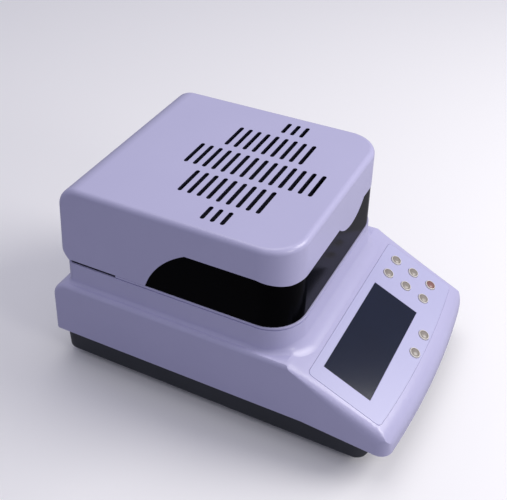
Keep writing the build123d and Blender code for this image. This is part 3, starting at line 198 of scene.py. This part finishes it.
# Rear sockets
# Mains inlet, switch and rocker are moulded in black nylon, and the data port's shell is tinned steel.
# Each sits in its own pocket of the back wall.
socket_nylon, shader = new_finish("black nylon", {"Roughness": 0.42, "IOR": 1.53})
mottle(socket_nylon, shader, ("#141416", "#1d1d20"), 6.0, 0.5, 0.08)
for name, body in (("power_inlet", "root"), ("power_switch", "root"), ("power_rocker", "power_rocker")):
    moulding = eased(clean_copy(name), 0.25)
    moulding.materials.append(socket_nylon)
    show(f"{name}_moulding", moulding, body, "black_plastic", name)
tinned_steel, shader = new_finish("tinned steel", {"Metallic": 1.0, "Roughness": 0.28})
mottle(tinned_steel, shader, ("#a9a9a6", "#c3c3c0"), 5.0, 0.6, 0.05)
wear(tinned_steel, "data_port")

# Top housing
# One large moulding in lavender ABS: deck, plinth, bowed nose and the bed of the panel.
# A hollow fillet runs round the foot of the plinth, broad in front and narrow at the sides.
# Its tool is polished, so the shell has a soft shine with only a trace of orange peel.
lavender_abs, shader = new_finish("lavender ABS, polished tool", {"Roughness": 0.27, "IOR": 1.53})
mottle(lavender_abs, shader, ("#b6b4d7", "#bcbadc"), 60.0, 2.5, 0.05)

panel_angle = radians(25.5)
panel_slope = tan(panel_angle)
panel_edge = (-76.5, 89.4)
deck_height = 94.0
back_roll = (141.6, 18.0)
plinth_low = {"z": 80.0, "half": 96.0, "front": -71.7, "rear": 148.3}
plinth_high = {"z": 116.0, "half": 95.0, "front": -68.7, "rear": 146.1}
plinth_corners = (30.0, 8.0)
cove_side = 3.2
cove_front = 9.0
cove_root = 1.3
cove_steps = 8
cove_turn_step = 6
cove_sink = 0.04
cove_bite = 0.03


def ground(y):
    """Height of the moulding beside the plinth: panel slope, flat deck, then the roll at the back."""
    slope = panel_edge[1] + (y - panel_edge[0]) * panel_slope
    past = max(0.0, y - back_roll[0])
    roll = deck_height - back_roll[1] + sqrt(max(0.0, back_roll[1] ** 2 - past**2))
    return min(deck_height, slope, roll)


def plinth_station(turn, straight, z):
    """A point on the plinth's wall at height z, and its outward normal; turn is which corner it is on."""
    share = (z - plinth_low["z"]) / (plinth_high["z"] - plinth_low["z"])
    half, front, rear = (
        plinth_low[key] + (plinth_high[key] - plinth_low[key]) * share for key in ("half", "front", "rear")
    )
    angle = radians(turn * 90 + straight)
    radius = plinth_corners[0] if turn in (0, 3) else plinth_corners[1]
    x = half - radius if turn in (0, 1) else radius - half
    y = front + radius if turn in (0, 3) else rear - radius
    outward = Vector((sin(angle), -cos(angle), 0))
    return Vector((x, y, z)) + outward * radius, outward


def cove(form):
    """Adds the hollow fillet round the plinth's foot to a bmesh, as a closed ring of its own."""
    loops = []
    for turn in range(4):
        for straight in range(0, 91, cove_turn_step):
            share = {0: 1 - straight / 90, 3: straight / 90}.get(turn, 0.0)
            reach = cove_side + (cove_front - cove_side) * share * share * (3 - 2 * share)
            start, outward = plinth_station(turn, straight, deck_height)
            toe = ground((start + outward * reach).y)
            points = []
            for step in range(cove_steps + 1):
                lean = radians(90 * step / cove_steps)
                foot, outward = plinth_station(turn, straight, deck_height)
                out = reach * (1 - sin(lean))
                low = ground((foot + outward * out).y)
                z = low + reach * (1 - cos(lean)) - cove_sink
                foot, outward = plinth_station(turn, straight, z)
                points.append(foot + outward * (out - cove_bite))
            top = points[-1] - outward * cove_root
            points.append(top)
            points.append(Vector((top.x, top.y, ground(top.y) - cove_root)))
            points.append(Vector((points[0].x, points[0].y, toe - cove_root)))
            loops.append([form.verts.new(p * mm) for p in points])
    count = len(loops[0])
    for at, loop in enumerate(loops):
        after = loops[(at + 1) % len(loops)]
        for k in range(count):
            form.faces.new((loop[k], after[k], after[(k + 1) % count], loop[(k + 1) % count]))
    bmesh.ops.recalc_face_normals(form, faces=form.faces)


def joined(mesh, other, how):
    """Boolean of two closed meshes."""
    first = bpy.data.objects.new("first", mesh)
    second = bpy.data.objects.new("second", other)
    for holder in (first, second):
        bpy.context.collection.objects.link(holder)
    cut = first.modifiers.new("join", "BOOLEAN")
    cut.operation = how
    cut.solver = "EXACT"
    cut.object = second
    bpy.context.view_layer.update()
    made = bpy.data.meshes.new_from_object(first.evaluated_get(bpy.context.evaluated_depsgraph_get()))
    for holder in (first, second):
        bpy.data.objects.remove(holder)
    return made


shortest_edge = 0.01
fillet = bmesh.new()
cove(fillet)
ring = bpy.data.meshes.new("cove")
fillet.to_mesh(ring)
fillet.free()
housing = joined(clean_copy("top_housing"), ring, "UNION")
form = bmesh.new()
form.from_mesh(housing)
bmesh.ops.dissolve_degenerate(form, dist=shortest_edge * mm, edges=form.edges)
form.to_mesh(housing)
form.free()
housing.shade_smooth()
housing = eased(housing, 0.5)
housing.materials.clear()
housing.materials.append(lavender_abs)
show("top_housing_moulding", housing, "root", "lavender_abs", "top_housing")

rim = eased(clean_copy("chamber_rim"), 0.5)
rim.materials.append(lavender_abs)
show("chamber_rim_moulding", rim, "root", "lavender_abs", "chamber_rim")

# Panel film and display
# A polyester film, printed on its back, lies in the panel's bed, with a smoked lens let into it.
# The rounded edges of film and bed draw a fine line round it.
panel_film, shader = new_finish("polyester film, printed on its back", {"Roughness": 0.34, "IOR": 1.6})
mottle(panel_film, shader, ("#b4b4d8", "#b9b9dc"), 50.0, 0.8, 0.02)
film = eased(clean_copy("panel_overlay"), 0.15)
film.materials.append(panel_film)
show("panel_film", film, "root", "panel_film", "panel_overlay")
lens, shader = new_finish("smoked display lens", {"Roughness": 0.14, "IOR": 1.49})
mottle(lens, shader, ("#0c1428", "#111a31"), 30.0, 1.0, 0.01)
glass = eased(clean_copy("display_window"), 0.2)
glass.materials.append(lens)
show("display_lens", glass, "root", "display_lens", "display_window")
wear(lens, "lcd_module")

# Keys
# Eight round caps: a cream ABS ring with a domed disc of grey-brown polycarbonate let into it.
# Each slides square to the panel in its own hole, held from behind by its flange.
key_abs, shader = new_finish("cream ABS", {"Roughness": 0.35, "IOR": 1.53})
mottle(key_abs, shader, ("#dcd8ce", "#e4e0d7"), 4.0, 0.4, 0.04)
disc_olive, shader = new_finish("olive polycarbonate disc", {"Roughness": 0.25, "IOR": 1.58})
mottle(disc_olive, shader, ("#87817a", "#98918a"), 3.0, 0.6, 0.02)
disc_red, shader = new_finish("red-brown polycarbonate disc", {"Roughness": 0.25, "IOR": 1.58})
mottle(disc_red, shader, ("#7f5a54", "#906862"), 3.0, 0.6, 0.02)

key_segments = 40
sharp_corner = radians(40)
key_up = Vector((0, -sin(panel_angle), cos(panel_angle)))
# radius and height of each ring, and 0 for the cap or 1 for the disc
key_profile = (
    (0.0, -6.55, 0),
    (2.0, -6.55, 0),
    (2.0, -4.05, 0),
    (6.5, -4.05, 0),
    (6.5, -3.05, 0),
    (5.0, -3.05, 0),
    (5.0, 0.75, 0),
    (4.9, 1.08, 0),
    (4.7, 1.26, 0),
    (4.4, 1.32, 0),
    (4.2, 1.2, 0),
    (4.1, 0.85, 1),
    (3.75, 1.1, 1),
    (3.2, 1.36, 1),
    (2.5, 1.56, 1),
    (1.4, 1.72, 1),
    (0.0, 1.78, 1),
)
# each row's distance down the slope from the panel's upper edge
key_rows = {"top": 21.9, "middle": 41.3, "bottom": 60.7, "left": 76.2, "right": 76.2}


def key_mesh(name, centre):
    """A cap turned from its profile about the line square to the panel through centre."""
    turned = Matrix.Translation(centre) @ key_up.to_track_quat("Z", "Y").to_matrix().to_4x4()
    form = bmesh.new()
    rings = []
    for radius, height, _ in key_profile:
        if radius == 0:
            rings.append([form.verts.new(turned @ Vector((0, 0, height * mm)))])
            continue
        ring = []
        for k in range(key_segments):
            angle = 2 * pi * k / key_segments
            spot = Vector((radius * cos(angle), radius * sin(angle), height)) * mm
            ring.append(form.verts.new(turned @ spot))
        rings.append(ring)
    for low, high, (_, _, part) in zip(rings, rings[1:], key_profile[1:]):
        for k in range(key_segments):
            after = (k + 1) % key_segments
            if len(low) == 1:
                corners = (low[0], high[after], high[k])
            elif len(high) == 1:
                corners = (low[k], low[after], high[0])
            else:
                corners = (low[k], low[after], high[after], high[k])
            face = form.faces.new(corners)
            face.material_index = part
            face.smooth = True
    bmesh.ops.recalc_face_normals(form, faces=form.faces)
    mesh = bpy.data.meshes.new(name)
    form.to_mesh(mesh)
    form.free()
    mesh.set_sharp_from_angle(angle=sharp_corner)
    return mesh


for name in [name for name in nodes if name.startswith("key_")]:
    low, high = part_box(name)
    down = key_rows[name.split("_")[-1]]
    slid = Vector((0, panel_edge[0] - down * cos(panel_angle), panel_edge[1] - down * sin(panel_angle)))
    cap = key_mesh(name, Vector(((low[0] + high[0]) / 2, slid.y * mm, slid.z * mm)))
    cap.materials.append(key_abs)
    cap.materials.append(disc_red if name == "key_outer_bottom" else disc_olive)
    show(f"{name}_cap", cap, name, "key_cream", name)

# Drying chamber
# The liner is spun and the pan support made from stainless steel; the shield is a rolled aluminium ring.
# The pan is a thin pressed aluminium dish, thrown away after each sample.
spun_steel, shader = new_finish("spun stainless steel", {"Metallic": 1.0, "Roughness": 0.3})
mottle(spun_steel, shader, ("#a5a6a8", "#bcbdbf"), 8.0, 0.5, 0.05)
wear(spun_steel, "chamber_liner", "pan_support", "guard_ring", "temperature_probe")
pan_aluminium, shader = new_finish("pressed aluminium", {"Metallic": 1.0, "Roughness": 0.25})
mottle(pan_aluminium, shader, ("#d2d3d5", "#e2e3e5"), 6.0, 0.8, 0.05)
wear(pan_aluminium, "sample_pan", "draught_shield")

# Hood shell
# Moulded like the housing, with five rows of vent slots.
# The walls of the slots and the inside of the shell take a dark navy finish, which is painted shade for the
# shade in the slots.
# One dark finish serves as black enamel on the steel plates and as painted shade in the hood's slots and
# inside it.
enamel_and_painted_shade, shader = new_finish("black enamel and painted shade", {"Roughness": 0.5})
mottle(enamel_and_painted_shade, shader, ("#101122", "#19192f"), 20.0, 1.2, 0.1)
hood = eased(clean_copy("hood_shell"), 0.4)
hood.materials.append(lavender_abs)
hood.materials.append(enamel_and_painted_shade)
hood_low, hood_high = (Vector(corner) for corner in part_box("hood_shell"))
shell_wall = 3.0 * mm
hood_corner = 30.0 * mm
skin = 0.45 * mm
steepest = 0.9


def depth_inside(spot):
    """How far a point lies inside the hood's upright outer walls, in plan, with their front corners round."""
    across = hood_high.x - hood_corner - abs(spot.x)
    ahead = spot.y - hood_low.y - hood_corner
    if across < 0 and ahead < 0:
        return hood_corner - sqrt(across**2 + ahead**2)
    return min(across, ahead) + hood_corner


slot_field_rear = 90 * mm
hood_middle = (hood_low + hood_high) / 2
# Faces in the slots and on the inside of the shell get the dark finish as painted shade.
for face in hood.polygons:
    spot = face.center
    inside = depth_inside(spot)
    below_top = hood_high.z - spot.z
    painted_slot_shade = skin < below_top < shell_wall + skin and inside > 3 * shell_wall and spot.y < slot_field_rear
    painted_inner_shade = inside > shell_wall - skin and below_top > shell_wall - skin
    upright = abs(face.normal.z) < steepest
    if (painted_slot_shade and upright) or (painted_inner_shade and face.normal.dot(spot - hood_middle) < 0):
        face.material_index = 1
show("hood_moulding", hood, "hood", "lavender_abs", "hood_shell")

# Hood frame, heat baffle and rear plate
# Three plates of sheet steel: one closes the hood's mouth, one lies under the slots, one behind the rim.
# All take the same dark finish, and on the plate behind the rim that black is painted shade for the shadowed
# gap under the hood's back.
wear(enamel_and_painted_shade, "hood_frame", "heat_baffle", "rear_plate")

# Heater
# Polished aluminium reflector, with a quartz ring lamp in a steatite holder inside it.
# A pane of the same quartz closes it towards the chamber.
# The hinges' washers are natural nylon, as pale and matt as the steatite, so they share its finish.
polished_aluminium, shader = new_finish("polished aluminium", {"Metallic": 1.0, "Roughness": 0.08})
mottle(polished_aluminium, shader, ("#d9d9da", "#e6e6e8"), 15.0, 2.0, 0.03)
wear(polished_aluminium, "reflector")
quartz, shader = new_finish("quartz glass", {"Roughness": 0.03, "IOR": 1.46, "Transmission Weight": 1.0})
mottle(quartz, shader, ("#f4f6fa", "#ffffff"), 15.0, 3.0, 0.01)
wear(quartz, "lamp_glass", "halogen_lamp")
steatite, shader = new_finish("steatite", {"Roughness": 0.7})
mottle(steatite, shader, ("#ddd6c6", "#eae4d6"), 5.0, 0.5, 0.1)
wear(steatite, "lamp_holder", "friction_washers")

# Smoked window
# A deep-smoked polycarbonate band, moulded to the hood's curve and polished.
# Its hard coat is thin and mirrors little, so it looks black from most sides.
smoke = {"Roughness": 0.14, "IOR": 1.585, "Specular IOR Level": 0.02}
smoked_polycarbonate, shader = new_finish("smoked polycarbonate", smoke)
mottle(smoked_polycarbonate, shader, ("#010102", "#030304"), 60.0, 5.0, 0.02)
band = eased(clean_copy("hood_window"), 0.3)
band.materials.append(smoked_polycarbonate)
show("window_band", band, "hood", "smoked_polycarbonate", "hood_window")

# Hinges and screws
# Pressed from zinc-plated steel sheet; the screws are zinc-plated too, with a cross recess in each head.
# Every screw is the same pan head on a plain shank, set on the points of its group.
zinc_plate, shader = new_finish("zinc-plated steel", {"Metallic": 1.0, "Roughness": 0.35})
mottle(zinc_plate, shader, ("#a8aaa6", "#c2c4c1"), 4.0, 0.4, 0.06)
for side in ("left", "right"):
    for part, body in (("bracket", "root"), ("arm", "hood"), ("pin", "root")):
        name = f"hinge_{part}_{side}"
        pressed = eased(clean_copy(name), 0.2)
        pressed.materials.append(zinc_plate)
        show(f"{name}_pressing", pressed, body, "zinc_plated_steel", name)

screw_tree = bpy.data.node_groups.new("screws", "GeometryNodeTree")
screw_tree.interface.new_socket("Geometry", in_out="INPUT", socket_type="NodeSocketGeometry")
screw_tree.interface.new_socket("Geometry", in_out="OUTPUT", socket_type="NodeSocketGeometry")
screw_sizes = {
    "Head radius": 3.0,
    "Head height": 2.0,
    "Shank radius": 1.5,
    "Shank length": 9.0,
    "Recess": 0.9,
}
screw_inputs = {}
for label, size in screw_sizes.items():
    socket = screw_tree.interface.new_socket(label, in_out="INPUT", socket_type="NodeSocketFloat")
    socket.default_value = size * mm
    screw_inputs[label] = socket.identifier
entry = screw_tree.nodes.new("NodeGroupInput")
leave = screw_tree.nodes.new("NodeGroupOutput")


def times(value, factor):
    """A number scaled inside the screw tree."""
    return put(screw_tree, "ShaderNodeMath", {"operation": "MULTIPLY"}, {0: value, 1: factor}).outputs[0]


def along(x, y, z):
    """A vector built from numbers inside the screw tree."""
    feeds = {"X": x, "Y": y, "Z": z}
    return put(screw_tree, "ShaderNodeCombineXYZ", {}, feeds).outputs[0]


def rod(radius, length, sides, middle):
    """An upright cylinder inside the screw tree, with its middle at a height."""
    size = {"Vertices": sides, "Radius": radius, "Depth": length}
    mesh = put(screw_tree, "GeometryNodeMeshCylinder", {}, size).outputs["Mesh"]
    moved = {"Geometry": mesh, "Translation": along(0.0, 0.0, middle)}
    return put(screw_tree, "GeometryNodeTransform", {}, moved).outputs[0]


head_height = entry.outputs["Head height"]
shank_length = entry.outputs["Shank length"]
half_head = times(head_height, -0.5)
half_shank = times(shank_length, 0.5)
rise = put(screw_tree, "ShaderNodeMath", {"operation": "ADD"}, {0: half_shank, 1: half_head}).outputs[0]
head = rod(entry.outputs["Head radius"], head_height, 32, half_head)
shank = rod(entry.outputs["Shank radius"], shank_length, 24, rise)
cut = {"operation": "DIFFERENCE", "solver": "EXACT"}
recess = put(screw_tree, "GeometryNodeMeshBoolean", cut, {"Mesh 1": head})
narrow = entry.outputs["Recess"]
wide = times(entry.outputs["Head radius"], 1.2)
drop = along(0.0, 0.0, times(head_height, -1.5))
for across in (along(wide, narrow, wide), along(narrow, wide, wide)):
    bar = put(screw_tree, "GeometryNodeMeshCube", {}, {"Size": across}).outputs["Mesh"]
    lowered = put(screw_tree, "GeometryNodeTransform", {}, {"Geometry": bar, "Translation": drop})
    screw_tree.links.new(lowered.outputs[0], recess.inputs["Mesh 2"])
union = {"operation": "UNION", "solver": "EXACT"}
screw = put(screw_tree, "GeometryNodeMeshBoolean", union, {})
screw_tree.links.new(recess.outputs["Mesh"], screw.inputs["Mesh 2"])
screw_tree.links.new(shank, screw.inputs["Mesh 2"])
grown = {"Points": entry.outputs["Geometry"], "Instance": screw.outputs["Mesh"]}
spread = put(screw_tree, "GeometryNodeInstanceOnPoints", {}, grown)
real = put(screw_tree, "GeometryNodeRealizeInstances", {}, {"Geometry": spread.outputs["Instances"]})
coated = {"Geometry": real.outputs["Geometry"], "Material": zinc_plate}
dressed = put(screw_tree, "GeometryNodeSetMaterial", {}, coated)
screw_tree.links.new(dressed.outputs["Geometry"], leave.inputs["Geometry"])


def screw_group(name, body, node, spots, seat, length):
    """One group of like screws, heads seated at a height and shanks from mid-head up, as one plain mesh."""
    points = bpy.data.meshes.new(name)
    points.from_pydata([(x * mm, y * mm, seat * mm) for x, y in spots], [], [])
    holder = bpy.data.objects.new("screw points", points)
    bpy.context.collection.objects.link(holder)
    grow = holder.modifiers.new("screws", "NODES")
    grow.node_group = screw_tree
    grow[screw_inputs["Shank length"]] = length * mm
    bpy.context.view_layer.update()
    made = bpy.data.meshes.new_from_object(holder.evaluated_get(bpy.context.evaluated_depsgraph_get()))
    bpy.data.objects.remove(holder)
    made.shade_smooth()
    made.set_sharp_from_angle(angle=sharp_corner)
    show(name, made, body, "zinc_plated_steel", node)


housing_spots = [(side * 88.0, row) for side in (-1, 1) for row in (-105.0, 20.0, 138.0)]
screw_group("housing_screw_set", "root", "housing_screws", housing_spots, 10.1, 35.9)
bracket_spots = [(side * 64.0 + step, 137.3) for side in (-1, 1) for step in (-8.0, 8.0)]
screw_group("bracket_screw_set", "root", "bracket_screws", bracket_spots, 113.0, 6.8)
baffle_spots = [(side * 75.0, 11.8 + step) for side in (-1, 1) for step in (-58.0, 58.0)]
screw_group("hood_screw_set", "hood", "hood_screws", baffle_spots, 177.0, 10.0)

# Studio
# A pale floor and an even sky, with a large soft lamp ahead and to the right and another above.
# A small lamp ahead and to the left draws the light along the rounded edges.
# What the eye sees of floor and sky is near white; what lights the object is grey.
bpy.ops.mesh.primitive_plane_add(size=12.0)
floor = bpy.context.object
floor.name = "floor"
floor_paper, shader = new_finish("pale paper", {"Roughness": 0.9})
tree = floor_paper.node_tree
seen = put(tree, "ShaderNodeLightPath", {}, {}).outputs["Is Camera Ray"]
shade = {0: seen, 6: (0.4, 0.4, 0.44, 1.0), 7: (0.93, 0.93, 0.94, 1.0)}
tone = put(tree, "ShaderNodeMix", {"data_type": "RGBA"}, shade)
tree.links.new(tone.outputs[2], shader.inputs["Base Color"])
floor.data.materials.append(floor_paper)

sky = bpy.data.worlds.new("sky")
bpy.context.scene.world = sky
sky.use_nodes = True
background = sky.node_tree.nodes["Background"]
seen = put(sky.node_tree, "ShaderNodeLightPath", {}, {}).outputs["Is Camera Ray"]
shade = {0: seen, 6: (0.34, 0.34, 0.42, 1.0), 7: (1.0, 1.0, 1.0, 1.0)}
tone = put(sky.node_tree, "ShaderNodeMix", {"data_type": "RGBA"}, shade)
sky.node_tree.links.new(tone.outputs[2], background.inputs["Color"])

lamp_white = (1.0, 0.97, 0.93)
lamp_aim = Vector((0, 0, 0.08))
for name, spot, size, power in (
    ("key lamp", (0.55, -1.1, 1.05), 0.9, 14.0),
    ("top lamp", (0.3, 0.2, 1.9), 1.4, 9.0),
    ("edge lamp", (-0.35, -1.1, 0.72), 0.35, 2.2),
):
    lamp = bpy.data.lights.new(name, "AREA")
    lamp.shape = "DISK"
    lamp.size = size
    lamp.energy = power
    lamp.color = lamp_white
    holder = bpy.data.objects.new(name, lamp)
    bpy.context.collection.objects.link(holder)
    holder.location = spot
    holder.rotation_euler = (Vector(spot) - lamp_aim).to_track_quat("Z", "Y").to_euler()

# Camera
# Stands to the left and ahead of the instrument and looks down on it.
camera = bpy.data.objects.new("camera", bpy.data.cameras.new("camera"))
bpy.context.collection.objects.link(camera)
bpy.context.scene.camera = camera
camera.data.lens = 59.58
camera.location = (-0.5215, -0.2541, 0.5726)
azimuth = radians(-62.93)
elevation = radians(38.36)
outward = Vector((sin(azimuth) * cos(elevation), -cos(azimuth) * cos(elevation), sin(elevation)))
camera.rotation_euler = outward.to_track_quat("Z", "Y").to_euler()

bpy.context.scene.view_settings.view_transform = "Standard"
